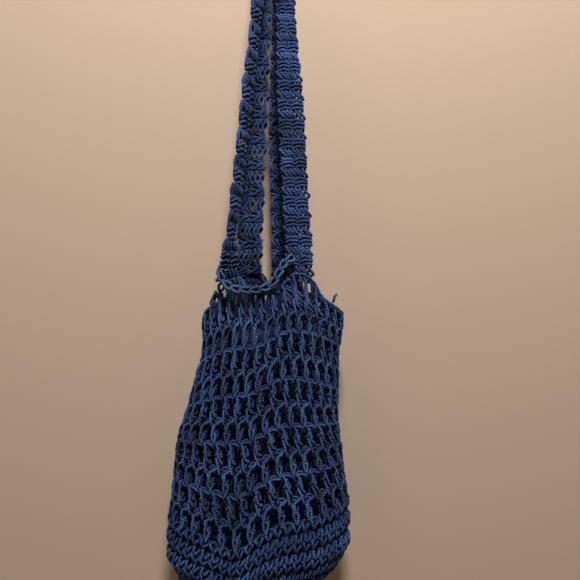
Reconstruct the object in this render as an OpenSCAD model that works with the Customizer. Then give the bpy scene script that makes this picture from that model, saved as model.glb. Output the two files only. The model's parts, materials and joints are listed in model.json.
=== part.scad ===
/* [Cord] */
// Diameter of the cotton cord that every piece is crocheted from
cord_d = 3; // [2.5:0.1:4]
// Thickness of the crocheted fabric, about two cords
fabric_t = 6; // [5:0.5:8]

/* [Mesh body] */
// Distance from the hanging point down to the front of the rim
strap_drop = 380; // [300:5:460]
// Number of open mesh rounds between the rim and the base
mesh_rounds = 10; // [10:1:10]
// Height of one mesh round
round_h = 24.2; // [18:0.2:30]
// Width across the rim
rim_w = 148; // [120:1:180]
// Width at the slim place just under the rim
neck_w = 144; // [115:1:175]
// Width at the middle of the body
belly_w = 168; // [140:1:205]
// Front to back depth at the rim
rim_depth = 50; // [42:1:66]
// Front to back depth at the middle of the body
belly_depth = 68; // [56:1:84]
// How far the middle of the body hangs to the left of the hanging point
lean = 18; // [0:1:24]

/* [Base] */
// Number of dense ridges round the base, two rows of stitches each
base_ridges = 3; // [3:1:3]
// Height of one ridge
ridge_h = 18; // [15:0.2:24]
// Width across the base band
base_w = 191; // [160:1:230]
// Front to back depth of the base band
base_depth = 90; // [74:1:110]
// Width of the flat oval that closes the bottom
disc_w = 136; // [110:1:160]
// Front to back depth of the flat oval
disc_depth = 56; // [44:1:70]
// Height of the turned-under corner, from the band down to the middle of the oval
corner_h = 12; // [12:0.5:20]
// How much the bottom rises towards the right as it hangs, in degrees
base_tilt = 14; // [0:1:14]

/* [Straps] */
// Width of a strap where it lies flat
strap_w = 25; // [20:0.5:30]
// Width of a strap where it is bunched over the hook
strap_top_w = 14; // [11:0.5:17]
// Radius inside the strap's bend, where the hook goes
hook_r = 6; // [4:0.5:10]

/* [Drape] */
// How much lower the left half of each round hangs than the right half
sag_step = 18; // [0:1:24]
// Depth of the crease in the front of the base
crease = 11; // [0:1:14]
// How much higher the rim is pulled at the foot of each strap
strap_pull = 18; // [0:1:24]

/* [Hidden] */
// Gap that keeps neighbouring pieces apart
gap = 0.4;
// Points round a closed round
ring_points = 48;
// How much narrower the band is at its lowest edge, where it starts to turn under
corner_round = 24;
// Diameter of the chain edging
edging_d = 2 * cord_d;
// Diameter of the thinner chain along the sides
side_rim_d = 1.5 * cord_d;

mesh_h = mesh_rounds * round_h;
band_h = base_ridges * ridge_h;
band_bottom = mesh_h + band_h;
base_z = -strap_drop - band_bottom - corner_h;

// Half-sizes and centre of the body at a distance s below the rim
function half_w(s) = lookup(s, [
    [0, rim_w], [0.2 * mesh_h, neck_w], [0.62 * mesh_h, belly_w],
    [mesh_h, base_w - 6], [mesh_h + 0.4 * band_h, base_w], [mesh_h + 0.75 * band_h, base_w - 6],
    [band_bottom, base_w - corner_round]]) / 2;
function half_d(s) = lookup(s, [
    [0, rim_depth], [0.62 * mesh_h, belly_depth], [mesh_h, base_depth - 4],
    [mesh_h + 0.4 * band_h, base_depth], [mesh_h + 0.75 * band_h, base_depth - 4],
    [band_bottom, base_depth - 0.7 * corner_round]]) / 2;
function centre_x(s) = -lean * lookup(s, [
    [0, 0.1], [0.2 * mesh_h, 0.25], [0.62 * mesh_h, 1], [band_bottom, 0.95]]);

// The rounds do not hang level: the right half is pulled up, the edges droop or rise, and the base creases
function ease(v) = let (c = max(0, min(1, v))) c * c * (3 - 2 * c);
function edge_rise(v) = lookup(v, [[0, 18], [0.2, 9], [0.4, 0], [0.6, -14], [0.8, -16], [1, -24]]);
function crease_at(u, v, front) =
    front ? crease * exp(-pow((u + 0.27) / 0.2, 2)) * max(0, 1 - v / 0.4) : 0;
function drape(u, s, front) = let (v = max(0, 1 - s / mesh_h), fade = s < mesh_h ? 1 : 1 - 0.3 * (s - mesh_h) / band_h)
    fade * (sag_step * min(1, (1 - v) * 5) * (ease((u + 0.25) / 0.6) - 0.5)
        + edge_rise(v) * pow(abs(u), 3) - crease_at(u, v, front));

// The top round is stretched upwards over the width of each strap's foot
function pull_at(x, s, feet) = strap_pull * pow(max(0, 1 - s / round_h), 2)
    * max([for (foot = feet) exp(-pow((x - foot) / (0.7 * strap_w), 4))]);

// One point of the fabric: t goes round from the right, over the front, and off is the distance from the middle
// of the fabric
function body_point(t, s, off) = let (
    u = cos(t), front = sin(t) > 0, x = centre_x(s) + (half_w(s) - fabric_t / 2) * u)
    [x + off * u, -(half_d(s) - fabric_t / 2 + off) * sin(t),
     -strap_drop - s + drape(u, s, front) + pull_at(x, s, front ? front_feet : back_feet)];
function body_loop(s, off, dz) = [for (i = [0:ring_points - 1]) body_point(360 * i / ring_points, s, off) + [0, 0, dz]];

// Angle and height of the rim at a place across the bag
function rim_angle(x) = acos(max(-1, min(1, (x - centre_x(0)) / (half_w(0) - fabric_t / 2))));
function rim_top(x, front) = body_point(rim_angle(x) * (front ? 1 : -1), 0, 0)[2];
// How far the middle of the rim's fabric stands from the middle plane at a place across the bag
function rim_out(x) = (half_d(0) - fabric_t / 2) * sin(rim_angle(x));

// Closes four or more loops of points into a ring-shaped solid
module ring_solid(loops) {
    n = len(loops[0]);
    m = len(loops);
    faces = [for (k = [0:m - 1], i = [0:n - 1]) each let (
        a = k * n + i, b = k * n + (i + 1) % n, c = ((k + 1) % m) * n + (i + 1) % n, d = ((k + 1) % m) * n + i)
        [[a, b, c], [a, c, d]]];
    polyhedron(points = [for (l = loops) each l], faces = faces, convexity = 6);
}

// One crocheted round between two distances below the rim
module fabric_round(s0, s1) {
    ring_solid([
        body_loop(s0, fabric_t / 2, -gap / 2), body_loop(s0, -fabric_t / 2, -gap / 2),
        body_loop(s1, -fabric_t / 2, gap / 2), body_loop(s1, fabric_t / 2, gap / 2)]);
}

// Closes a row of equal sections, end to end, into one solid
module swept_solid(sections) {
    n = len(sections[0]);
    last = (len(sections) - 1) * n;
    sides = [for (k = [0:len(sections) - 2], i = [0:n - 1]) each let (
        a = k * n + i, b = k * n + (i + 1) % n) [[a, b, b + n], [a, b + n, a + n]]];
    ends = [[for (i = [n - 1:-1:0]) i], [for (i = [0:n - 1]) last + i]];
    polyhedron(points = [for (s = sections) each s], faces = concat(sides, ends), convexity = 6);
}

// A flat strap down a list of stations, each [x, y, z, width, turn about the vertical]
module strap_leg(stations) {
    swept_solid([for (p = stations) let (c = cos(p[4]), s = sin(p[4])) [
        for (q = [[-1, -1], [-1, 1], [1, 1], [1, -1]])
            [p[0] + q[0] * p[3] / 2 * c - q[1] * fabric_t / 2 * s,
             p[1] + q[0] * p[3] / 2 * s + q[1] * fabric_t / 2 * c, p[2]]]]);
}

// A round edging along a list of points, with its section square to the way it runs
module edging(points, d) {
    sides = 8;
    last = len(points) - 1;
    swept_solid([for (k = [0:last]) let (
        run = points[min(k + 1, last)] - points[max(k - 1, 0)], along = run / norm(run),
        side0 = cross(along, [0, 1, 0]), side = side0 / norm(side0), up = cross(side, along))
        [for (i = [0:sides - 1]) points[k] + d / 2 * (cos(360 * i / sides) * side + sin(360 * i / sides) * up)]]);
}

// Where each strap crosses the bag: over the hook, halfway down and at the rim
// Over the hook the two straps hang side by side: the middle between them, and the gap between their edges
top_middle_x = -1;
top_gap = 1;
top_half = (strap_top_w + top_gap) / 2;
left_top_x = top_middle_x - top_half;
right_top_x = top_middle_x + top_half;
// The two back straps hang side by side: the middle between them halfway down, and the gap between their edges
back_middle_x = -7;
back_middle_gap = 3;
back_middle_half = (strap_w + back_middle_gap) / 2;
front_left_x = [left_top_x, -27, -48];
back_left_x = [left_top_x, back_middle_x - back_middle_half, -29];
front_right_x = [right_top_x, 16, 26];
back_right_x = [right_top_x, back_middle_x + back_middle_half, 10];
front_feet = [front_left_x[2], front_right_x[2]];
back_feet = [back_left_x[2], back_right_x[2]];
leg_y = hook_r + fabric_t / 2;
leg_top_z = -hook_r - gap;
// Share of the way from hook to rim at each station of a strap
leg_steps = [0, 0.2, 0.5, 0.75, 0.9, 1];
// How far a strap is turned edge-on to the front at each station
flat_turn = [0, 0, 0, 0, 0, 0];
curled_turn = [10, 40, 70, 78, 70, 20];
// Height of a strap's foot above the rim under its middle, so that its corners clear the sloping rim
strap_seat = 4;

// Stations of one leg: way is -1 in front and 1 behind
function leg_stations(across, way, turns) = let (
    foot_z = rim_top(across[2], way < 0) + strap_seat, foot_y = max(leg_y, rim_out(across[2])))
    [for (i = [0:len(leg_steps) - 1]) let (
        f = leg_steps[i], w = strap_top_w + (strap_w - strap_top_w) * min(1, 2 * f), turn_out = w / 2 * sin(turns[i]))
        [lookup(f, [[0, across[0]], [0.5, across[1]], [1, across[2]]]),
         way * (leg_y + (foot_y - leg_y) * f + (i > 0 && i < len(leg_steps) - 1 ? turn_out : 0)),
         leg_top_z + (foot_z - leg_top_z) * f, w, turns[i]]];

// The two chains of the neckline, from strap to strap: across the bag, and above the rim's own height
neck_front_route = [[-56, 22], [-51, 11], [-41, 4], [-26, 2], [-14, 3], [-3, 8], [5, 20], [10, 29], [19, 35]];
neck_back_route = [[-15, 20], [-12, 8], [-7, 4], [-3, 8], [0, 20]];
neck_out = rim_depth / 2 + edging_d / 2 + gap;
function neck_points(route, way) = [for (p = route) [p[0], way * neck_out, p[1] - strap_drop]];

// A side edging from the front strap round to the back strap, far enough above the rim to clear its steep slopes
side_lift = 1.2 * side_rim_d + gap;
side_steps = 24;
function side_points(from_t, to_t) = [for (i = [0:side_steps]) let (
    t = from_t + (to_t - from_t) * i / side_steps) body_point(t, 0, 0) + [0, 0, side_lift]];
strap_half = strap_w / 2 + side_rim_d / 2;

// The bend of a strap over the hook
module strap_top(x) {
    color("midnightblue") translate([x, 0, -hook_r]) rotate([90, 0, 90])
        rotate_extrude(angle = 180, $fn = 64)
            translate([hook_r, -strap_top_w / 2]) square([fabric_t, strap_top_w]);
}

module left_strap_top() strap_top(left_top_x);
module right_strap_top() strap_top(right_top_x);
module front_left_strap() color("midnightblue")
    strap_leg(leg_stations(front_left_x, -1, curled_turn));
module back_left_strap() color("midnightblue")
    strap_leg(leg_stations(back_left_x, 1, flat_turn));
module front_right_strap() color("midnightblue")
    strap_leg(leg_stations(front_right_x, -1, flat_turn));
module back_right_strap() color("midnightblue")
    strap_leg(leg_stations(back_right_x, 1, flat_turn));

module front_neckline() color("royalblue") edging(neck_points(neck_front_route, -1), edging_d);
module back_neckline() color("royalblue") edging(neck_points(neck_back_route, 1), edging_d);
module left_side_rim() color("royalblue") edging(side_points(
    rim_angle(front_left_x[2] - strap_half), 360 - rim_angle(back_left_x[2] - strap_half)), side_rim_d);
module right_side_rim() color("royalblue") edging(side_points(
    rim_angle(front_right_x[2] + strap_half), -rim_angle(back_right_x[2] + strap_half)), side_rim_d);

// The short end of the cord left standing on the right shoulder
module cord_tail() {
    color("royalblue") translate(body_point(26, 0, 0) + [0, 0, side_lift + side_rim_d / 2 + 3 * gap])
        cylinder(h = 2 * cord_d, d = cord_d, $fn = 32);
}

// Mesh rounds count upwards from the base
module mesh_round(i) {
    color("navy") fabric_round((mesh_rounds - i) * round_h, (mesh_rounds - i + 1) * round_h);
}

// Base ridges count upwards too
module base_ridge(i) {
    color("darkblue") fabric_round(mesh_h + (base_ridges - i) * ridge_h, mesh_h + (base_ridges - i + 1) * ridge_h);
}

// Outline of the flat oval, grown by a margin, at a height above its underside
function oval_loop(margin, h) = [for (i = [0:ring_points - 1]) let (
    t = 360 * i / ring_points, across = (disc_w - disc_depth) / 2 * sign(cos(t)) + (disc_depth / 2 + margin) * cos(t))
    [centre_x(band_bottom) + across * cos(base_tilt) - h * sin(base_tilt), -(disc_depth / 2 + margin) * sin(t),
     base_z + across * sin(base_tilt) + h * cos(base_tilt)]];

// The turned-under corner, from the band down to the flat oval
module base_corner() {
    color("darkblue") ring_solid([
        body_loop(band_bottom, fabric_t / 2, -gap / 2), body_loop(band_bottom, -fabric_t / 2, -gap / 2),
        oval_loop(2 * gap, fabric_t), oval_loop(2 * gap, 0)]);
}

// The flat oval that closes the bottom
module base_oval() {
    color("darkblue") translate([centre_x(band_bottom), 0, base_z]) rotate([0, -base_tilt, 0])
        linear_extrude(fabric_t) union() {
            square([disc_w - disc_depth, disc_depth], center = true);
            for (side = [-1, 1]) translate([side * (disc_w - disc_depth) / 2, 0])
                circle(d = disc_depth, $fn = 96);
        }
}

left_strap_top();
right_strap_top();
front_left_strap();
back_left_strap();
front_right_strap();
back_right_strap();
front_neckline();
back_neckline();
left_side_rim();
right_side_rim();
cord_tail();
for (i = [1:mesh_rounds]) mesh_round(i);
for (i = [1:base_ridges]) base_ridge(i);
base_corner();
base_oval();
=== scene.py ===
import json
import math

import bpy
import numpy as np
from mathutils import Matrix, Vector


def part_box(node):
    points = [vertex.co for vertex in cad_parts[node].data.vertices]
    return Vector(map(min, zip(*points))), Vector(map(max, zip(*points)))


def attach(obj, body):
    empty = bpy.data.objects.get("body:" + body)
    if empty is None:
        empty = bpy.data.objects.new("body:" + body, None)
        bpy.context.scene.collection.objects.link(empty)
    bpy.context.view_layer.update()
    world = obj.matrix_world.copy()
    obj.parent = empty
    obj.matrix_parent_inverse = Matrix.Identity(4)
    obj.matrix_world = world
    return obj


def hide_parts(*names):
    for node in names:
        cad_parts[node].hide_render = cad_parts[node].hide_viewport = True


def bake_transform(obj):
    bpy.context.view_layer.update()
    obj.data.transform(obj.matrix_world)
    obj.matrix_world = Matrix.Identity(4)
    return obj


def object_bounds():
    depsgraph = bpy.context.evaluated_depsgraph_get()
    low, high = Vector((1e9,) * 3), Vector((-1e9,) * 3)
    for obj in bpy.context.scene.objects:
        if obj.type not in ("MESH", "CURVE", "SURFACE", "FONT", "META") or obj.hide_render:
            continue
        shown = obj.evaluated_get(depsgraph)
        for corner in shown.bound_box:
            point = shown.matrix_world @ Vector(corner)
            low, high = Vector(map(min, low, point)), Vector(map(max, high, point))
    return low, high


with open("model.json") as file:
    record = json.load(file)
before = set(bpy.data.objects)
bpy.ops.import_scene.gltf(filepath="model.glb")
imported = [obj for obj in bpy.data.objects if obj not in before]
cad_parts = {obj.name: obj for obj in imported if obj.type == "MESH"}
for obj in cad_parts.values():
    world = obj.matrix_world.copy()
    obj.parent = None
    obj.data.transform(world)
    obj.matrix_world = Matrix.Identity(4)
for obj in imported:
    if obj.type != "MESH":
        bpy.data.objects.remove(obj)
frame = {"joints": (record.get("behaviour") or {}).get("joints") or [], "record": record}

cad_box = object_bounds()
rng = np.random.default_rng(20)

# ---------------------------------------------------------------- sizes, in metres
MM = 0.001
CORD_R = 1.4 * MM           # radius of the cotton cord, stretched in the mesh
BASE_CORD_R = 1.5 * MM      # the same cord, less stretched, in the dense base
STRAP_CORD_R = 1.6 * MM     # and in the straps
EDGE_CORD_R = 1.6 * MM      # and in the loose chains of the edgings
FABRIC_T = 6 * MM           # thickness of the crocheted fabric
MESH_ROUNDS = 10
MESH_COLUMNS = 44           # posts round the open mesh
GATHER = 0.36               # share by which the posts open out in front and close up behind
GATHER_STEEPNESS = 2.5      # how quickly they change from one to the other at the sides
DRAWN_EDGE = 2              # how quickly the posts in front take their drawn-in form there
BASE_STITCHES = 72          # stitches round the dense base
BASE_RIDGES = 3
CORNER_STITCHES = 58        # stitches round the turned-under corner
OVAL_ROWS = 5               # rows of stitches from the corner to the middle of the bottom
STRAP_PAINTED_SHADE_FACING = 0.7           # painted shade on the free straps, the same on both their faces

joint_z = {j["name"]: j["pos_m"][2] for j in frame["joints"]}
ROUND_H = (joint_z["body_swing"] - joint_z["body_fold"]) / 3
RIM_Z = joint_z["body_swing"] + 1.5 * ROUND_H
MESH_H = MESH_ROUNDS * ROUND_H
RIDGE_H = 18 * MM
BAND_END = MESH_H + BASE_RIDGES * RIDGE_H
CORNER_LEN = 14 * MM        # way from the band's lowest edge to the flat oval
BASE_TILT = math.radians(14)
RIDGE_BULGE = 3.2 * MM      # height of a ridge over the groove beside it
RIDGE_MEAN = 0.6            # share of it that lies inside the middle of the fabric
ODD_LEVEL_SHIFT = 1.8 * MM  # right-side rounds are a little taller than wrong-side rounds


def box_size(node):
    low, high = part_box(node)
    return [(high[i] - low[i]) / 2 for i in range(3)], [(high[i] + low[i]) / 2 for i in range(3)]


TURN_IN_W, TURN_IN_D = 8 * MM, 5 * MM     # how much the band has drawn in at its lowest edge
# Half-width, half-depth and centre of the body at the middle of each round, from rim to base
profile_s, profile_w, profile_d, profile_c = [], [], [], []
rounds_down = [f"mesh_round_{k}" for k in range(MESH_ROUNDS, 0, -1)]
rounds_down += [f"base_ridge_{k}" for k in range(BASE_RIDGES, 0, -1)]
for place, name in enumerate(rounds_down):
    half, middle = box_size(name)
    over = place - MESH_ROUNDS
    s_here = (place + 0.5) * ROUND_H if over < 0 else MESH_H + (over + 0.5) * RIDGE_H
    profile_s.append(s_here)
    profile_w.append(half[0] - FABRIC_T / 2)
    profile_d.append(half[1] - FABRIC_T / 2)
    profile_c.append(middle[0])
profile_s.append(BAND_END)
profile_w.append(profile_w[-1] - TURN_IN_W)
profile_d.append(profile_d[-1] - TURN_IN_D)
profile_c.append(profile_c[-1])
oval_half, oval_mid = box_size("base_oval")
OVAL_R = oval_half[1]
OVAL_STRAIGHT = oval_half[0] / math.cos(BASE_TILT) - OVAL_R


def smooth_lookup(s, keys, values):
    """Cubic interpolation through a few profile values."""
    keys, values = np.array(keys), np.array(values)
    slope = np.gradient(values, keys)
    s = np.clip(s, keys[0], keys[-1])
    i = np.clip(np.searchsorted(keys, s) - 1, 0, len(keys) - 2)
    h = keys[i + 1] - keys[i]
    f = (s - keys[i]) / h
    return ((2 * f**3 - 3 * f**2 + 1) * values[i] + (f**3 - 2 * f**2 + f) * h * slope[i]
            + (3 * f**2 - 2 * f**3) * values[i + 1] + (f**3 - f**2) * h * slope[i + 1])


# ---------------------------------------------------------------- how the bag hangs
SAG_STEP = 18 * MM          # how much lower the left half hangs, between SAG_FROM and SAG_FROM + SAG_OVER
SAG_FROM, SAG_OVER = -0.25, 0.6           # as shares of the half-width
SAG_ONSET = 5               # how quickly the step grows below the rim
CREASE = 11 * MM            # depth of the crease in the lower front, and its place and widths across
CREASE_PLACE, CREASE_W, TUCK_W = -0.27, 0.2, 0.17
CREASE_TOP = 0.4            # share of the mesh's height that the crease reaches up
TUCK_TOP, TUCK_GROWTH = 2 * MM, 5 * MM    # how far the crease is tucked in at the rim, and more below
BASE_FADE, BASE_FADE_END = 0.3, 1.4       # how the dense base evens out the drape
CORNER_DIP = 2.5 * MM       # how much the turned-under corner bulges down
PULL_WIDTH = 0.7            # half-width of the pulled-up place at a strap's foot, in strap widths
STRAP_PULL = 18 * MM        # how far each strap's foot pulls the rim up
STRAP_W, STRAP_TOP_W = 25 * MM, 14 * MM
# Where each strap crosses the bag: over the hook, halfway down and at the rim
ACROSS = {"front_left": (-8.5, -27, -48), "back_left": (-8.5, -21, -29),
          "front_right": (6.5, 16, 26), "back_right": (6.5, 7, 10)}
RISE_KEYS = [0, 0.2, 0.4, 0.6, 0.8, 1]
RISE = [v * MM for v in (18, 9, 0, -14, -16, -24)]


def ease(v):
    c = np.clip(v, 0, 1)
    return c * c * (3 - 2 * c)


def drape(u, s, front):
    """Height of a round above its level: the right half is pulled up, the edges droop or rise."""
    v = np.maximum(0, 1 - s / MESH_H)
    down_base = np.minimum(BASE_FADE_END, (s - MESH_H) / (BAND_END - MESH_H))
    fade = np.where(s < MESH_H, 1, 1 - BASE_FADE * down_base)
    across = np.exp(-((u - CREASE_PLACE) / CREASE_W) ** 2)
    crease = front * CREASE * across * np.maximum(0, 1 - v / CREASE_TOP)
    step = SAG_STEP * np.minimum(1, (1 - v) * SAG_ONSET) * (ease((u - SAG_FROM) / SAG_OVER) - 0.5)
    return fade * (step + np.interp(v, RISE_KEYS, RISE) * np.abs(u) ** 3 - crease)


def pull_at(x, s, front):
    """The top round is stretched upwards over the width of each strap's foot."""
    lift = 0 * x
    for strap, route in ACROSS.items():
        near = np.exp(-((x - route[2] * MM) / (PULL_WIDTH * STRAP_W)) ** 4)
        lift = np.maximum(lift, near * (front == strap.startswith("front")))
    return STRAP_PULL * np.clip(1 - s / ROUND_H, 0, 1) ** 2 * lift


# Angles that share out the stitches evenly along the oval, at a few heights
ANGLE_ROWS = np.linspace(0, BAND_END, 9)
SHARE = np.linspace(0, 1, 721)
density = 1 - GATHER * np.tanh(GATHER_STEEPNESS * np.sin(2 * math.pi * SHARE))
gathered = np.concatenate([[0], np.cumsum((density[1:] + density[:-1]) / 2)])
gathered /= gathered[-1]
even_share = np.interp(SHARE, gathered, SHARE)
angle_table = []
for s_row in ANGLE_ROWS:
    turn = np.linspace(0, 2 * math.pi, 2881)
    across = smooth_lookup(s_row, profile_s, profile_w) * np.cos(turn)
    deep = smooth_lookup(s_row, profile_s, profile_d) * np.sin(turn)
    length = np.concatenate([[0], np.cumsum(np.hypot(np.diff(across), np.diff(deep)))])
    angle_table.append(np.interp(even_share, length / length[-1], turn))
angle_table = np.array(angle_table)


def angle_at(q, s):
    whole = np.floor(q)
    place = np.clip(s, 0, BAND_END) / BAND_END * (len(ANGLE_ROWS) - 1)
    row = np.clip(place.astype(int), 0, len(ANGLE_ROWS) - 2)
    column = (q - whole) * (len(SHARE) - 1)
    left = np.clip(column.astype(int), 0, len(SHARE) - 2)
    f, g = place - row, column - left
    low = angle_table[row, left] * (1 - g) + angle_table[row, left + 1] * g
    high = angle_table[row + 1, left] * (1 - g) + angle_table[row + 1, left + 1] * g
    return low * (1 - f) + high * f + 2 * math.pi * whole


def oval_point(t, margin):
    """A point of the flat bottom, margin beyond the oval's edge (negative is inside)."""
    straight = OVAL_STRAIGHT * np.clip(np.cos(t) * 3, -1, 1)
    radius = np.maximum(OVAL_R + margin, 0.2 * MM)
    across = straight + radius * np.cos(t)
    centre_z = oval_mid[2] - FABRIC_T / 2 * math.cos(BASE_TILT) + CORD_R
    return np.stack([oval_mid[0] + across * math.cos(BASE_TILT), -radius * np.sin(t),
                     centre_z + across * math.sin(BASE_TILT)], -1)


def body_surface(q, s):
    """The middle of the fabric: q goes once round from the right over the front, s down from the rim."""
    q, s = np.broadcast_arrays(np.asarray(q, float), np.asarray(s, float))
    t = angle_at(q, s)
    s_band = np.minimum(s, BAND_END)
    u, sine = np.cos(t), np.sin(t)
    front = (sine > 0).astype(float)
    wide = smooth_lookup(s_band, profile_s, profile_w)
    deep = smooth_lookup(s_band, profile_s, profile_d)
    tuck_depth = TUCK_TOP + TUCK_GROWTH * ease(s_band / MESH_H)
    tuck = front * tuck_depth * np.exp(-((u - CREASE_PLACE) / TUCK_W) ** 2)
    x = smooth_lookup(s_band, profile_s, profile_c) + wide * u
    height = RIM_Z - s_band + drape(u, s_band, front) + pull_at(x, s_band, front)
    wall = np.stack([x, -deep * sine + tuck, height], -1)
    under = s - BAND_END
    f = np.clip(under / CORNER_LEN, 0, 1)[..., None]
    edge = oval_point(t, 0 * t)
    corner = wall * (1 - f) + edge * f
    corner[..., 2] -= CORNER_DIP * np.sin(math.pi * f[..., 0])
    inside = oval_point(t, -(under - CORNER_LEN))
    return np.where((under < 0)[..., None], wall, np.where((under < CORNER_LEN)[..., None], corner, inside))


def body_fabric(q, s, out):
    """A point of the body's fabric, out from its middle."""
    p = body_surface(q, s)
    dq, ds = 0.0015, 0.8 * MM
    along = body_surface(q + dq, s) - body_surface(q - dq, s)
    down = body_surface(q, s + ds) - body_surface(q, s - ds)
    normal = np.cross(down, along)
    normal /= np.linalg.norm(normal, axis=-1, keepdims=True) + 1e-12
    return p + normal * np.asarray(out)[..., None]


# ---------------------------------------------------------------- cord tubes
SIDES = 6
FINE = 3
END_TAPER = 0.55            # thickness of a cord's cut end


def smooth_path(points, fine=FINE):
    """Catmull-Rom curve through the points."""
    p = np.vstack([2 * points[0] - points[1], points, 2 * points[-1] - points[-2]])
    f = (np.arange(fine) / fine)[None, :, None]
    a, b, c, d = (p[i:len(p) - 3 + i, None, :] for i in range(4))
    bend, twist = 2 * a - 5 * b + 4 * c - d, 3 * b - a - 3 * c + d
    curve = 0.5 * (2 * b + (c - a) * f + bend * f**2 + twist * f**3)
    return np.vstack([curve.reshape(-1, 3), points[-1:]])


def out_of_bag(points):
    """The way out of the bag at each point: down under the base, away from the upright axis elsewhere."""
    half_w, half_d = (cad_box[1][0] - cad_box[0][0]) / 2, (cad_box[1][1] - cad_box[0][1]) / 2
    middle_x = (cad_box[1][0] + cad_box[0][0]) / 2
    way = np.stack([(points[:, 0] - middle_x) / half_w**2, points[:, 1] / half_d**2, 0 * points[:, 0]], -1)
    way /= np.linalg.norm(way, axis=1, keepdims=True) + 1e-12
    under = points[:, 2] < oval_mid[2] + (points[:, 0] - oval_mid[0]) * math.tan(BASE_TILT) + FABRIC_T
    return np.where(under[:, None], [0.0, 0.0, -1.0], way)


def tube(points, radius):
    """Vertices, faces and cord coordinates of a round tube along the points."""
    n = len(points)
    run = np.gradient(points, axis=0)
    run /= np.linalg.norm(run, axis=1, keepdims=True) + 1e-12
    side = np.empty_like(run)
    start = np.cross(run[0], [0.3, 0.5, 0.8])
    side[0] = start / np.linalg.norm(start)
    for i in range(1, n):
        s = side[i - 1] - run[i] * (side[i - 1] @ run[i])
        side[i] = s / (math.sqrt(s @ s) + 1e-12)
    up = np.cross(run, side)
    angle = np.arange(SIDES) * 2 * math.pi / SIDES
    ring = (np.cos(angle)[None, :, None] * side[:, None] + np.sin(angle)[None, :, None] * up[:, None])
    width = np.full(n, radius)
    width[0] = width[-1] = radius * END_TAPER
    verts = (points[:, None] + ring * width[:, None, None]).reshape(-1, 3)
    # How far each vertex faces out of the bag, for the painted shade on the cord's flanks and inner side
    painted_shade_facing = (ring * out_of_bag(points)[:, None]).sum(-1)
    free = points[:, 2] > RIM_Z + 2 * STRAP_PULL
    painted_shade_facing = np.where(free[:, None], STRAP_PAINTED_SHADE_FACING, painted_shade_facing).ravel()
    i, j = np.meshgrid(np.arange(n - 1), np.arange(SIDES), indexing="ij")
    k = (j + 1) % SIDES
    quads = np.stack([i * SIDES + j, i * SIDES + k, (i + 1) * SIDES + k, (i + 1) * SIDES + j], -1)
    along = np.concatenate([[0], np.cumsum(np.linalg.norm(np.diff(points, axis=0), axis=1))])
    uv = np.stack([np.stack([along[i], j / SIDES], -1), np.stack([along[i], (j + 1) / SIDES], -1),
                   np.stack([along[i + 1], (j + 1) / SIDES], -1), np.stack([along[i + 1], j / SIDES], -1)], 2)
    return verts, quads.reshape(-1, 4), uv.reshape(-1, 4, 2), painted_shade_facing


def cord_piece(name, paths, material, radius):
    """One mesh object from several cord paths."""
    verts, faces, uvs, painted_shade_facings, caps, count = [], [], [], [], [], 0
    for path in paths:
        v, f, uv, painted_shade_facing = tube(path, radius)
        verts.append(v)
        painted_shade_facings.append(painted_shade_facing)
        faces.append(f + count)
        uvs.append(uv)
        caps.append([count + i for i in range(SIDES - 1, -1, -1)])
        caps.append([count + len(v) - SIDES + i for i in range(SIDES)])
        count += len(v)
    verts, faces, uvs = np.vstack(verts), np.vstack(faces), np.vstack(uvs)
    mesh = bpy.data.meshes.new(name)
    mesh.vertices.add(len(verts))
    mesh.vertices.foreach_set("co", verts.ravel())
    loops = np.concatenate([faces.ravel(), np.array(caps).ravel()]).astype(np.int32)
    starts = np.concatenate([np.arange(len(faces)) * 4, len(faces) * 4 + np.arange(len(caps)) * SIDES])
    mesh.loops.add(len(loops))
    mesh.loops.foreach_set("vertex_index", loops)
    mesh.polygons.add(len(starts))
    mesh.polygons.foreach_set("loop_start", starts.astype(np.int32))
    mesh.polygons.foreach_set("use_smooth", np.ones(len(starts), bool))
    layer = mesh.uv_layers.new(name="cord")
    flat = np.concatenate([uvs.reshape(-1, 2), np.zeros((len(caps) * SIDES, 2))])
    layer.data.foreach_set("uv", flat.astype(np.float32).ravel())
    # per-vertex facing that drives the painted shade on the cord's flanks and inner side
    mesh.attributes.new("painted_shade_facing", "FLOAT", "POINT").data.foreach_set("value", np.concatenate(painted_shade_facings))
    mesh.update(calc_edges=True)
    mesh.validate()
    mesh.materials.append(material)
    obj = bpy.data.objects.new(name, mesh)
    bpy.context.collection.objects.link(obj)
    return obj


# ---------------------------------------------------------------- stitches
# Each stitch is the way its cord runs, in millimetres: x along the row, y up from the row's top line and
# z out of the fabric. The next stitch starts where this one ends.
POST_PITCH, RIGHT_H, WRONG_H = 15.0, 25.8, 21.6
RIGHT_POST = [
    (-2.6, -1.8, -0.8), (-1.4, -4.2, 1.2), (1.8, -7.4, 2.4), (5.4, -10.6, 1.8), (7.5, -13.0, 0.2),
    (7.4, -9.4, 2.2), (6.2, -4.8, 1.6), (5.0, -3.4, -0.8), (3.4, -7.2, -2.0), (1.2, -10.9, -0.8),
    (0.2, -11.3, 1.4), (0.9, -15.4, 2.6), (2.9, -22.0, 2.5), (4.9, -27.6, 1.0), (5.2, -28.4, -1.2),
    (3.5, -22.0, -2.3), (1.9, -15.0, -1.4), (2.1, -12.0, 1.2), (5.2, -14.9, 2.4), (8.6, -18.4, 1.4),
    (8.8, -18.8, -0.8), (5.4, -14.4, -2.3), (4.6, -8.4, -2.4), (3.8, -2.8, -1.8)]
RIGHT_CHAIN = [
    (0.8, 0.2, -0.8), (1.4, 1.8, 0.8), (4.8, 2.5, 1.9), (8.4, 1.8, 1.3), (9.4, -0.2, 0.5),
    (7.8, -2.0, 1.6), (4.2, -2.4, 1.9), (1.2, -1.6, 0.9), (0.8, -0.2, -1.2), (5.0, 0.2, -0.5),
    (9.2, -0.6, -1.0)]
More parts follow.
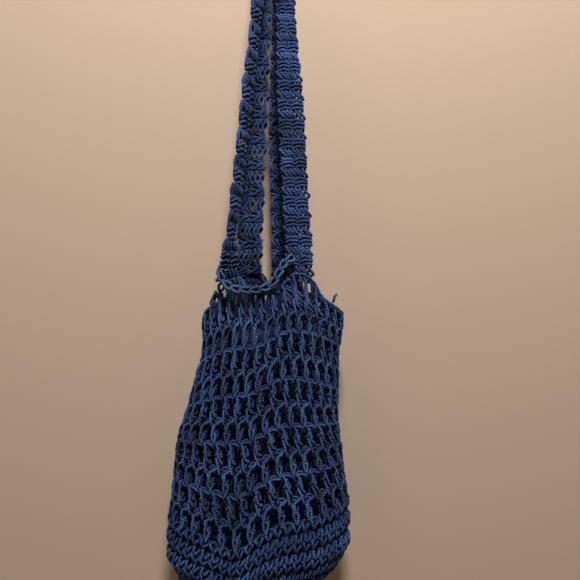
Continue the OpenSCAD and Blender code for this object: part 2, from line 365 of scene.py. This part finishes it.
WRONG_POST = [
    (6.4, -1.0, -1.4), (3.4, -2.2, 0.8), (6.2, -3.8, 2.3), (6.9, -7.2, 2.3), (4.4, -10.2, 0.9),
    (2.0, -8.8, -1.4), (0.6, -5.0, -1.6), (0.5, -2.8, 0.6), (0.9, -5.6, 2.2), (3.0, -8.2, 2.0),
    (5.4, -9.6, 0.4), (7.1, -11.6, 1.6), (6.7, -15.2, 2.4), (5.2, -19.4, 2.2), (4.0, -21.9, 0.6),
    (4.2, -21.6, -1.6), (5.8, -16.5, -1.9), (6.2, -12.0, -2.0), (2.6, -10.8, -1.2), (0.4, -11.4, 1.4),
    (0.8, -15.2, 2.4), (2.5, -19.4, 2.2), (3.6, -21.9, 0.4), (2.0, -17.0, -1.8), (1.3, -11.5, -2.2),
    (2.5, -6.0, -2.4), (3.0, -2.0, -2.0)]
WRONG_CHAIN = [
    (7.5, 0.5, -1.8), (11.5, 3.5, -0.8), (13.6, 5.4, 1.2), (15.0, 1.6, 2.3), (17.0, -1.2, 2.3),
    (20.4, -2.2, 2.2), (23.6, -1.4, 1.0), (22.0, 0.8, -0.2), (18.2, 1.0, 1.6), (15.6, 2.2, 1.6),
    (18.4, 4.2, 2.3), (22.6, 3.4, 1.0), (23.6, 1.2, -1.0)]
TIGHT_PITCH, TIGHT_H = 10.0, 9.8
RIGHT_TIGHT = [
    (0.4, -0.6, -0.4), (1.2, -2.0, 2.2), (2.8, -5.4, 2.9), (4.5, -9.0, 1.8), (5.0, -10.4, -0.4),
    (6.6, -6.2, -2.0), (8.9, -2.6, -0.8), (8.8, -1.8, 1.8), (7.6, -4.6, 2.8), (5.9, -8.6, 2.2),
    (5.2, -10.4, 0.0), (3.6, -7.0, -2.4), (2.2, -2.4, -2.2), (2.6, 0.4, 0.4), (4.8, 1.2, 2.3),
    (8.2, 1.2, 2.5), (10.8, 0.2, 1.4)]
WRONG_TIGHT = [
    (0.4, -0.8, 0.8), (2.6, 0.6, 2.4), (7.0, 0.6, 2.5), (9.8, -0.9, 1.0), (7.4, -2.4, -1.4),
    (5.6, -2.2, 0.8), (4.3, -4.0, 2.6), (2.2, -7.6, 2.4), (1.2, -9.8, 0.2), (3.2, -7.0, -2.2),
    (5.0, -4.0, -2.0), (5.2, -2.6, 0.6), (6.2, -4.2, 2.6), (8.2, -7.6, 2.4), (9.2, -9.8, 0.2),
    (8.8, -6.0, -2.2), (9.4, -2.2, -1.6)]
RIGHT_SLANT = [
    (0.0, -0.6, 0.2), (0.4, -1.6, 1.9), (1.9, -4.2, 2.5), (3.6, -7.0, 1.9), (4.0, -8.6, 0.2),
    (2.4, -9.8, 0.7), (0.6, -9.4, 0.2), (0.4, -6.6, -1.6), (1.6, -3.4, -2.2), (2.4, -0.8, -1.4)]
RIGHT_BARS = [
    (0.0, -2.4, -0.4), (1.4, -0.9, 1.7), (3.8, -0.4, 2.3), (6.0, -1.2, 1.7), (7.3, -2.8, 0.0),
    (5.4, -2.7, -1.2), (1.8, -2.9, -1.2), (0.0, -4.8, 0.2), (1.8, -4.1, 1.9), (4.4, -4.1, 2.4),
    (6.6, -5.2, 1.7), (7.6, -6.6, 0.0), (4.4, -6.4, -0.8), (0.6, -6.8, -0.8), (0.4, -8.4, 0.8),
    (2.8, -7.6, 1.8), (5.4, -8.4, 1.4), (7.4, -9.6, 0.2), (4.0, -9.4, -1.2), (2.2, -6.4, -2.2),
    (6.2, -3.0, -2.2)]
LEFT_SLANT = [
    (0.0, -0.4, 0.2), (0.4, -1.8, 1.9), (1.6, -5.4, 2.5), (3.0, -9.0, 1.9), (3.4, -11.0, 0.0),
    (2.0, -12.8, 0.6), (0.4, -14.2, 0.4), (1.8, -15.8, -0.2), (3.0, -12.6, -1.6), (1.0, -7.6, -2.2),
    (2.0, -1.2, -1.8)]
RIGHT_ROW_H, LEFT_ROW_H = 10.0, 14.8
LEFT_BARS = [(x, LEFT_ROW_H / RIGHT_ROW_H * y, z) for x, y, z in RIGHT_BARS]
# Rows of the straps, right side and wrong side: kind, stitches across, pitch of one stitch, height of its row
STRAP_STITCHES = {"left": ((LEFT_SLANT, 5, 3.4, LEFT_ROW_H), (LEFT_BARS, 2, 7.8, LEFT_ROW_H)),
                  "right": ((RIGHT_SLANT, 6, 3.1, RIGHT_ROW_H), (RIGHT_BARS, 2, 7.8, RIGHT_ROW_H))}
CHAIN_PITCH = 10.0
EDGE_CHAIN = [
    (0.2, 0.3, 0.2), (3.0, 1.3, 1.6), (7.4, 2.7, 1.9), (11.2, 2.7, 1.0), (12.8, 0.6, -1.0),
    (12.0, -1.6, -0.6), (9.8, -2.9, 1.4), (6.0, -2.5, 1.9), (2.4, -1.2, 1.4), (0.4, -0.2, -0.8),
    (4.4, 0.1, -1.9), (8.4, 0.1, -1.7)]


def narrowed(post, middle, share, slant):
    """A post drawn in towards its middle, so that the holes beside it open out."""
    return [(middle + (x - middle) * share - slant * (y + 12), y, z) for x, y, z in post]


def row_points(stitch, count, pitch, wobble=0.25):
    """Control points of a row of stitches, each a little different."""
    one = np.array(stitch)
    row = np.concatenate([one + [i * pitch, 0, 0] for i in range(count)])
    row += rng.normal(0, wobble, row.shape)
    sway = rng.normal(0, 0.5, count)
    row[:, 0] += np.repeat(sway, len(one)) * np.sin(np.clip(-row[:, 1], 0, 24) / 24 * math.pi)
    return row


def ridge_bulge(s):
    """How far the dense rows stand out in rounded ridges, with a groove between each two."""
    share = np.clip((s - MESH_H) / RIDGE_H, 0, BASE_RIDGES)
    return np.where(s > MESH_H, RIDGE_BULGE * (np.abs(np.sin(math.pi * share)) - RIDGE_MEAN), 0)


def lay_round(stitch, count, pitch, height, s_top, s_bottom, start=0.0, drawn=None):
    """A closed round of stitches on the body; in front they take their drawn-in form, if there is one."""
    row = row_points(stitch, count, pitch)
    q = start - row[:, 0] / pitch / count
    if drawn is not None:
        change = np.tile(np.array(drawn) - np.array(stitch), (count, 1))
        row += change * np.clip(DRAWN_EDGE * np.sin(2 * math.pi * q), 0, 1)[:, None]
        q = start - row[:, 0] / pitch / count
    s = s_top - row[:, 1] / height * (s_bottom - s_top)
    path = body_fabric(q, s, row[:, 2] * MM + ridge_bulge(s))
    path = np.vstack([path, path[:1]])
    return smooth_path(path)


# ---------------------------------------------------------------- materials
PAINTED_FLANK_SHADE = 0.36       # painted shade: how much darker the cord is on its flanks and on its side that faces into the bag
PAINTED_SHADE_REACH = 40 * MM     # painted shade: how near other cords, or the stage wall, have to be to darken a spot towards the shade colour
PAINTED_SHADE_START, PAINTED_SHADE_RISE = 0.43, 3.2   # openness of a spot where the painted shade ends, and how fast it fades out
# colour of the painted shade in spots that other cords hide from the light
PAINTED_SHADE_BLUE = (0.0004, 0.0030, 0.018, 1)
SHEEN_TINT = (0.45, 0.6, 0.95, 1)
PLIES, TWIST_PITCH = 3, 9 * MM
FIBRES, FIBRE_TWIST = 7, 3.2              # fibres round the cord, and how much tighter they twist
PATCH_SCALE, FUZZ_SCALE = 45, 1900        # of the uneven dye and of the loose fibres
# the ply term of the colour is painted shade, darker in the grooves between the plies
PAINTED_PLY_GROOVE_SHADE, PATCH_SHADE, FUZZ_SHADE, SHADE_DROP = 0.42, 0.62, 0.5, 0.08
FIBRE_HEIGHT, FUZZ_HEIGHT, TWIST_DEPTH = 0.10, 0.35, 0.4 * MM
RAMP_START = 0.3


def cord_material(name, dark, light):
    """Twisted cotton cord: ply twist and fibres along the cord, with uneven dye, and painted shade in the ply
    grooves, on the cord's flanks and inner side, and in sheltered spots.
    """
    material = bpy.data.materials.new(name)
    material.use_nodes = True
    nodes, links = material.node_tree.nodes, material.node_tree.links
    shader = nodes["Principled BSDF"]
    shader.inputs["Roughness"].default_value = 0.82
    shader.inputs["Specular IOR Level"].default_value = 0.35
    shader.inputs["Sheen Weight"].default_value = 0.2
    shader.inputs["Sheen Roughness"].default_value = 0.45
    shader.inputs["Sheen Tint"].default_value = SHEEN_TINT
    uv = nodes.new("ShaderNodeUVMap")
    uv.uv_map = "cord"
    split = nodes.new("ShaderNodeSeparateXYZ")
    links.new(uv.outputs["UV"], split.inputs[0])

    def maths(kind, a, b=None):
        node = nodes.new("ShaderNodeMath")
        node.operation = kind
        for socket, value in zip(node.inputs, (a, b)):
            if value is None:
                continue
            if isinstance(value, (int, float)):
                socket.default_value = value
            else:
                links.new(value, socket)
        return node.outputs[0]

    phase = maths("ADD", maths("MULTIPLY", split.outputs[0], 1 / TWIST_PITCH), split.outputs[1])
    ply = maths("ABSOLUTE", maths("SINE", maths("MULTIPLY", phase, math.pi * PLIES)))
    fibre_turn = maths("MULTIPLY", split.outputs[0], FIBRE_TWIST / TWIST_PITCH)
    fine_phase = maths("ADD", fibre_turn, split.outputs[1])
    fibre = maths("SINE", maths("MULTIPLY", fine_phase, 2 * math.pi * FIBRES))
    place = nodes.new("ShaderNodeTexCoord")
    patches = nodes.new("ShaderNodeTexNoise")
    patches.inputs["Scale"].default_value = PATCH_SCALE
    patches.inputs["Detail"].default_value = 3
    links.new(place.outputs["Object"], patches.inputs["Vector"])
    fuzz = nodes.new("ShaderNodeTexNoise")
    fuzz.inputs["Scale"].default_value = FUZZ_SCALE
    fuzz.inputs["Detail"].default_value = 2
    links.new(place.outputs["Object"], fuzz.inputs["Vector"])
    dye = maths("MULTIPLY", patches.outputs["Fac"], PATCH_SHADE)
    # the ply pattern in the colour is painted shade in the grooves between the plies
    shade = maths("ADD", maths("MULTIPLY", ply, PAINTED_PLY_GROOVE_SHADE), dye)
    shade = maths("ADD", shade, maths("MULTIPLY", maths("SUBTRACT", fuzz.outputs["Fac"], 0.5), FUZZ_SHADE))
    shade = maths("SUBTRACT", shade, SHADE_DROP)
    # Painted shade: the cord is darker on its flanks and on its side that faces into the bag
    painted_shade_facing = nodes.new("ShaderNodeAttribute")
    painted_shade_facing.attribute_name = "painted_shade_facing"
    painted_flank_shade = maths("SUBTRACT", 1, maths("MAXIMUM", painted_shade_facing.outputs["Fac"], 0))
    shade = maths("SUBTRACT", shade, maths("MULTIPLY", painted_flank_shade, PAINTED_FLANK_SHADE))
    ramp = nodes.new("ShaderNodeValToRGB")
    ramp.color_ramp.elements[0].position = RAMP_START
    ramp.color_ramp.elements[0].color = (*dark, 1)
    ramp.color_ramp.elements[1].position = 1.0
    ramp.color_ramp.elements[1].color = (*light, 1)
    links.new(shade, ramp.inputs["Fac"])
    # Painted shade: spots that other cords, or the wall, hide from light are mixed towards a deep blue shade
    # colour; depth is that mix
    occlusion_shade = nodes.new("ShaderNodeAmbientOcclusion")
    occlusion_shade.samples = 4
    occlusion_shade.inputs["Distance"].default_value = PAINTED_SHADE_REACH
    links.new(ramp.outputs["Color"], occlusion_shade.inputs["Color"])
    depth = nodes.new("ShaderNodeMix")
    depth.data_type = "RGBA"
    openness = maths("MULTIPLY", maths("SUBTRACT", occlusion_shade.outputs["AO"], PAINTED_SHADE_START), PAINTED_SHADE_RISE)
    depth.inputs[6].default_value = PAINTED_SHADE_BLUE
    links.new(openness, depth.inputs[0])
    links.new(ramp.outputs["Color"], depth.inputs[7])
    links.new(depth.outputs[2], shader.inputs["Base Color"])
    height = maths("ADD", ply, maths("MULTIPLY", fibre, FIBRE_HEIGHT))
    height = maths("ADD", height, maths("MULTIPLY", fuzz.outputs["Fac"], FUZZ_HEIGHT))
    bump = nodes.new("ShaderNodeBump")
    bump.inputs["Strength"].default_value = 0.8
    bump.inputs["Distance"].default_value = TWIST_DEPTH
    links.new(height, bump.inputs["Height"])
    links.new(bump.outputs["Normal"], shader.inputs["Normal"])
    return material


mesh_cord = cord_material("navy_mesh_cord", (0.001, 0.007, 0.060), (0.170, 0.360, 0.960))
base_cord = cord_material("navy_base_cord", (0.001, 0.012, 0.090), (0.155, 0.360, 0.960))
strap_cord = cord_material("navy_strap_cord", (0.001, 0.008, 0.050), (0.150, 0.310, 0.880))
edging_cord = cord_material("blue_edging_cord", (0.003, 0.012, 0.060), (0.220, 0.430, 0.900))


# ---------------------------------------------------------------- body of the bag
BENDS_AT = {"mesh_round_10": "body_swing", "mesh_round_9": "body_swing", "mesh_round_8": "body_swing",
            "mesh_round_7": "body_fold", "mesh_round_6": "body_fold", "mesh_round_5": "body_fold",
            "mesh_round_2": "base_tilt", "mesh_round_1": "base_tilt",
            "base_ridge_3": "base_tilt", "base_ridge_2": "base_tilt"}
BODY_OF = {node: body for body, nodes in frame["record"]["behaviour"]["bodies"].items() for node in nodes}


def place_piece(obj, node):
    """Hides the CAD node that a finished piece replaces, and attaches the piece to that node's body; a piece
    listed in BENDS_AT only has its transform baked.
    """
    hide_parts(node)
    if node in BENDS_AT:
        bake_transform(obj)
    else:
        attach(obj, BODY_OF[node])


def level_s(level):
    """Distance below the rim of a mesh level, counted up from the base."""
    return (MESH_ROUNDS - level) * ROUND_H + (ODD_LEVEL_SHIFT if level % 2 else 0)


WRONG_START = -8.7 / POST_PITCH / MESH_COLUMNS  # wrong-side posts hang under the middle of the bars
for number in range(1, MESH_ROUNDS + 1):
    right_side = number % 2 == 0
    if right_side:
        stitch, drawn = RIGHT_POST + RIGHT_CHAIN, narrowed(RIGHT_POST, 4, 0.85, 0.1) + RIGHT_CHAIN
        height, start = RIGHT_H, 0
    else:
        stitch, drawn = WRONG_POST + WRONG_CHAIN, narrowed(WRONG_POST, 3.6, 0.88, 0) + WRONG_CHAIN
        height, start = WRONG_H, WRONG_START
    s_top, s_bottom = level_s(number), level_s(number - 1)
    path = lay_round(stitch, MESH_COLUMNS, POST_PITCH, height, s_top, s_bottom, start, drawn)
    piece = cord_piece(f"mesh_{number}", [path], mesh_cord, CORD_R)
    place_piece(piece, f"mesh_round_{number}")

for number in range(1, BASE_RIDGES + 1):
    s_top = MESH_H + (BASE_RIDGES - number) * RIDGE_H
    paths = [lay_round(stitch, BASE_STITCHES, TIGHT_PITCH, TIGHT_H, s_top + half * RIDGE_H / 2,
                       s_top + (half + 1) * RIDGE_H / 2, 0.5 * half / BASE_STITCHES)
             for half, stitch in enumerate((RIGHT_TIGHT, WRONG_TIGHT))]
    piece = cord_piece(f"ridge_{number}", paths, base_cord, BASE_CORD_R)
    place_piece(piece, f"base_ridge_{number}")

path = lay_round(RIGHT_TIGHT, CORNER_STITCHES, TIGHT_PITCH, TIGHT_H, BAND_END, BAND_END + CORNER_LEN)
place_piece(cord_piece("corner", [path], base_cord, BASE_CORD_R), "base_corner")
paths = []
for row in range(OVAL_ROWS):
    top = BAND_END + CORNER_LEN + row * OVAL_R / OVAL_ROWS
    middle_length = 4 * OVAL_STRAIGHT + 2 * math.pi * OVAL_R * (1 - (row + 0.5) / OVAL_ROWS)
    count = int(middle_length / (TIGHT_PITCH * MM))
    paths.append(lay_round(RIGHT_TIGHT, count, TIGHT_PITCH, TIGHT_H, top, top + OVAL_R / OVAL_ROWS))
place_piece(cord_piece("oval", paths, base_cord, BASE_CORD_R), "base_oval")


# ---------------------------------------------------------------- straps
HOOK_R = 6 * MM
LEG_Y = HOOK_R + FABRIC_T / 2
FOOT_Y = {"front_left": 19 * MM, "back_left": 20 * MM, "front_right": 20 * MM, "back_right": 21.5 * MM}
# How far each leg is turned edge-on, in degrees, at these shares of its way down
LEG_STEPS = [0, 0.2, 0.5, 0.75, 0.9, 1]
FLAT = [0, 0, 0, 0, 0, 0]
CURLED = [10, 60, 75, 78, 70, 20]
STRAP_ROWS = {"left": 54, "right": 74}
EDGE_CURL = 1.5 * MM        # how far a strap's edges curl back
STRAP_THINNING = 0.8        # its stitches are pulled flatter than the body's


def leg_line(side):
    """Centre line, width direction and width of one leg, from the hook down to its foot."""
    way = -1 if side.startswith("front") else 1
    low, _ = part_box(side + "_strap")
    foot_z, top_z = low[2] - 4 * MM, -HOOK_R
    turns = CURLED if side == "front_left" else FLAT
    f = np.linspace(0, 1, 80)
    x = smooth_lookup(f, [0, 0.5, 1], [v * MM for v in ACROSS[side]])
    turn = np.radians(smooth_lookup(f, LEG_STEPS, turns))
    width = STRAP_TOP_W + (STRAP_W - STRAP_TOP_W) * np.minimum(1, 2 * f) ** 1.5
    y = LEG_Y + (FOOT_Y[side] - LEG_Y) * f + width / 2 * np.sin(turn) * np.sqrt(np.sin(math.pi * f))
    z = top_z + (foot_z - top_z) * f
    line = np.stack([x, way * y, z], -1)
    across = np.stack([np.cos(turn), np.sin(turn), 0 * turn], -1)
    return line, across, width


def strap_map(name):
    """Line, width direction, width and length of a strap, from front foot over the hook to back foot."""
    front, front_across, front_width = leg_line("front_" + name)
    back, back_across, back_width = leg_line("back_" + name)
    t = np.linspace(0, math.pi, 16)[1:-1]
    bend = np.stack([np.full_like(t, front[0][0]), -LEG_Y * np.cos(t), -HOOK_R + LEG_Y * np.sin(t)], -1)
    line = np.vstack([front[::-1], bend, back])
    across = np.vstack([front_across[::-1], np.tile([1.0, 0, 0], (len(t), 1)), back_across])
    width = np.concatenate([front_width[::-1], np.full(len(t), STRAP_TOP_W), back_width])
    length = np.concatenate([[0], np.cumsum(np.linalg.norm(np.diff(line, axis=0), axis=1))])
    return line, across, width, length


def lay_strap(kinds, first, last, rows, strap):
    """Turned rows of tight stitches across a strap, as one cord."""
    line, across, width, length = strap
    run = np.gradient(line, axis=0)
    run /= np.linalg.norm(run, axis=1, keepdims=True)
    normal = np.cross(across, run)
    normal /= np.linalg.norm(normal, axis=1, keepdims=True)
    points = []
    for row in range(first, last):
        wrong = row % 2
        stitch, count, pitch, height = kinds[wrong]
        pts = row_points(stitch, count, pitch, wobble=0.22)
        pts[:, 0] = pts[:, 0] / (pitch * count) - 0.5
        if wrong:
            pts[:, 0] *= -1
        along = (row + 1 + pts[:, 1] / height) / rows * length[-1]
        centre = np.stack([np.interp(along, length, line[:, i]) for i in range(3)], -1)
        sideways = np.stack([np.interp(along, length, across[:, i]) for i in range(3)], -1)
        outward = np.stack([np.interp(along, length, normal[:, i]) for i in range(3)], -1)
        wide = np.interp(along, length, width)
        curl = -EDGE_CURL * (2 * pts[:, 0]) ** 2
        points.append(centre + sideways * (pts[:, 0] * wide)[:, None]
                      + outward * (pts[:, 2] * STRAP_THINNING * MM + curl)[:, None])
    return smooth_path(np.vstack(points))


for side in ("left", "right"):
    strap = strap_map(side)
    rows = STRAP_ROWS[side]
    middle = rows // 2
    parts = (("front", 0, middle - 1), ("top", middle - 1, middle + 1), ("back", middle + 1, rows))
    for part, first, last in parts:
        node = f"{side}_strap_top" if part == "top" else f"{part}_{side}_strap"
        path = lay_strap(STRAP_STITCHES[side], first, last, rows, strap)
        place_piece(cord_piece(node + "_cord", [path], strap_cord, STRAP_CORD_R), node)


# ---------------------------------------------------------------- edgings
def lay_chain(line, outward, scale=1.0):
    """A chain of links along a line of points, its face turned outward."""
    line = smooth_path(np.array(line, float), 8)
    length = np.concatenate([[0], np.cumsum(np.linalg.norm(np.diff(line, axis=0), axis=1))])
    count = max(2, round(length[-1] / (CHAIN_PITCH * scale * MM)))
    pts = row_points(EDGE_CHAIN, count, CHAIN_PITCH, wobble=0.15)
    along = pts[:, 0] / (CHAIN_PITCH * count) * length[-1]
    centre = np.stack([np.interp(along, length, line[:, i]) for i in range(3)], -1)
    run = np.gradient(line, axis=0)
    run = np.stack([np.interp(along, length, run[:, i]) for i in range(3)], -1)
    run /= np.linalg.norm(run, axis=1, keepdims=True)
    out = np.array(outward(centre), float)
    up = np.cross(run, out)
    up /= np.linalg.norm(up, axis=1, keepdims=True)
    out = np.cross(up, run)
    size = scale * MM
    return smooth_path(centre + up * (pts[:, 1] * size)[:, None] + out * (pts[:, 2] * size)[:, None])


def facing(way):
    return lambda p: np.tile([0.0, way, 0.0], (len(p), 1))


NECK_FRONT = [(-56, 22), (-51, 11), (-41, 4), (-26, 2), (-14, 3), (-3, 8), (5, 20), (10, 29), (19, 35)]
NECK_BACK = [(-15, 20), (-12, 8), (-7, 4), (-3, 8), (0, 20)]
for node, route, way in (("front_neckline", NECK_FRONT, -1), ("back_neckline", NECK_BACK, 1)):
    low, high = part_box(node)
    out_y = (low[1] + high[1]) / 2
    line = [(x * MM, out_y, RIM_Z + z * MM) for x, z in route]
    path = lay_chain(line, facing(way))
    place_piece(cord_piece(node + "_cord", [path], edging_cord, EDGE_CORD_R), node)

FAN_STRANDS, FAN_REACH = 7, 24 * MM
FAN_STEPS = np.linspace(0, 1, 7)
FAN_BEND = 1.2              # the strands leave the strap steeply and spread further down
FAN_OUT, FAN_JITTER = 1.5, 0.3 * MM       # height of the lower strands in mm, and their unevenness


def fan(foot, spread):
    """Cords that fan down from the edge of a strap's foot over the shoulder of the bag."""
    paths = []
    for strand in range(FAN_STRANDS):
        end = foot + spread * (strand + 1) / FAN_STRANDS
        q = foot + (end - foot) * FAN_STEPS ** FAN_BEND
        points = body_fabric(q, FAN_REACH * FAN_STEPS, np.full(len(FAN_STEPS), (FAN_OUT + strand % 2) * MM))
        paths.append(smooth_path(points + rng.normal(0, FAN_JITTER, points.shape)))
    return paths


RIM_POINTS, RIM_RISE, RIM_CHAIN_SCALE = 20, 0.5 * MM, 0.75
FAN_SET_BACK, FRONT_SPREAD, BACK_SPREAD = 0.02, 0.12, 0.1   # shares of the way round the bag
# Where each side rim starts in front and ends behind, as shares of the way round
for node, first, last in (("left_side_rim", 0.36, 0.66), ("right_side_rim", 0.14, -0.17)):
    way = 1 if last > first else -1
    q = np.linspace(first, last, RIM_POINTS)
    line = body_fabric(q, np.full(RIM_POINTS, -RIM_RISE), np.zeros(RIM_POINTS))
    path = lay_chain(line, lambda p: np.tile([0.0, 0.0, 1.0], (len(p), 1)), RIM_CHAIN_SCALE)
    front_fan = fan(first - FAN_SET_BACK * way, FRONT_SPREAD * way)
    back_fan = fan(last + FAN_SET_BACK * way, -BACK_SPREAD * way)
    paths = [path] + front_fan + back_fan
    place_piece(cord_piece(node + "_cord", paths, edging_cord, CORD_R), node)

low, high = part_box("cord_tail")
middle_x, middle_y, middle_z = ((low[i] + high[i]) / 2 for i in range(3))
tail_foot, tail_end = (low[0], middle_y, low[2] - 3 * MM), (high[0] + 1 * MM, middle_y, high[2])
tail = [tail_foot, (middle_x, low[1], middle_z), tail_end]
piece = cord_piece("tail", [smooth_path(np.array(tail), 6)], edging_cord, CORD_R)
place_piece(piece, "cord_tail")


# ---------------------------------------------------------------- stage, light and camera
def plain_material(name, colour, roughness):
    material = bpy.data.materials.new(name)
    material.use_nodes = True
    shader = material.node_tree.nodes["Principled BSDF"]
    shader.inputs["Base Color"].default_value = (*colour, 1)
    shader.inputs["Roughness"].default_value = roughness
    return material


def open_from_behind(material):
    """Lets the camera and the rear light through the back of a wall, so that the bag shows from there."""
    nodes, links = material.node_tree.nodes, material.node_tree.links
    side, ray = nodes.new("ShaderNodeNewGeometry"), nodes.new("ShaderNodeLightPath")
    either, mix = nodes.new("ShaderNodeMath"), nodes.new("ShaderNodeMixShader")
    either.operation = "MAXIMUM"
    links.new(side.outputs["Backfacing"], either.inputs[0])
    links.new(ray.outputs["Is Shadow Ray"], either.inputs[1])
    links.new(either.outputs[0], mix.inputs[0])
    links.new(nodes["Principled BSDF"].outputs[0], mix.inputs[1])
    links.new(nodes.new("ShaderNodeBsdfTransparent").outputs[0], mix.inputs[2])
    links.new(mix.outputs[0], nodes["Material Output"].inputs["Surface"])


def stage_plane(name, corners, material):
    mesh = bpy.data.meshes.new(name)
    mesh.from_pydata(corners, [], [(0, 1, 2, 3)])
    mesh.materials.append(material)
    obj = bpy.data.objects.new(name, mesh)
    bpy.context.collection.objects.link(obj)


STAGE_COLOUR, STAGE_ROUGHNESS = (0.60, 0.455, 0.345), 0.9
floor_material = plain_material("plain_floor", STAGE_COLOUR, STAGE_ROUGHNESS)
wall_material = plain_material("plain_wall", STAGE_COLOUR, STAGE_ROUGHNESS)
open_from_behind(wall_material)
WALL_Y = 0.049                # just behind the bag, which hangs against the wall
FLOOR_Z = -1.6
STAGE_X, STAGE_FRONT_Y, WALL_TOP_Z = 4, -5, 3
stage_plane("wall", [(-STAGE_X, WALL_Y, FLOOR_Z), (STAGE_X, WALL_Y, FLOOR_Z),
                     (STAGE_X, WALL_Y, WALL_TOP_Z), (-STAGE_X, WALL_Y, WALL_TOP_Z)], wall_material)
stage_plane("floor", [(-STAGE_X, STAGE_FRONT_Y, FLOOR_Z), (STAGE_X, STAGE_FRONT_Y, FLOOR_Z),
                      (STAGE_X, WALL_Y, FLOOR_Z), (-STAGE_X, WALL_Y, FLOOR_Z)], floor_material)


def area_light(name, place, target, size, power, colour=(1, 1, 1)):
    data = bpy.data.lights.new(name, "AREA")
    data.size = size
    data.energy = power
    data.color = colour
    light = bpy.data.objects.new(name, data)
    light.location = place
    light.rotation_euler = (Vector(target) - Vector(place)).to_track_quat("-Z", "Y").to_euler()
    bpy.context.collection.objects.link(light)


LIT_POINT = (0, 0, -0.4)
area_light("key", (0.1, -0.8, 0.88), LIT_POINT, 0.25, 27, (1, 0.97, 0.93))
area_light("fill", (-1.2, -1.2, 0.3), LIT_POINT, 0.8, 1.8)
area_light("rear", (0.7, 1.1, 0.4), LIT_POINT, 0.4, 22)
world = bpy.data.worlds.new("soft")
world.use_nodes = True
world.node_tree.nodes["Background"].inputs["Color"].default_value = (1, 0.97, 0.94, 1)
world.node_tree.nodes["Background"].inputs["Strength"].default_value = 0.028
bpy.context.scene.world = world
bpy.context.scene.view_settings.view_transform = "Standard"

VIEW_W = 0.609                # width of the picture at the middle of the bag
VIEW_X, VIEW_Z = 0.0158, -0.378
CAMERA_D = 0.75
SENSOR_W = 36
camera_data = bpy.data.cameras.new("camera")
camera_data.sensor_width = SENSOR_W
camera_data.lens = SENSOR_W * CAMERA_D / VIEW_W
camera = bpy.data.objects.new("camera", camera_data)
camera.location = (VIEW_X, -CAMERA_D, VIEW_Z)
camera.rotation_euler = (math.pi / 2, 0, 0)
bpy.context.collection.objects.link(camera)
bpy.context.scene.camera = camera
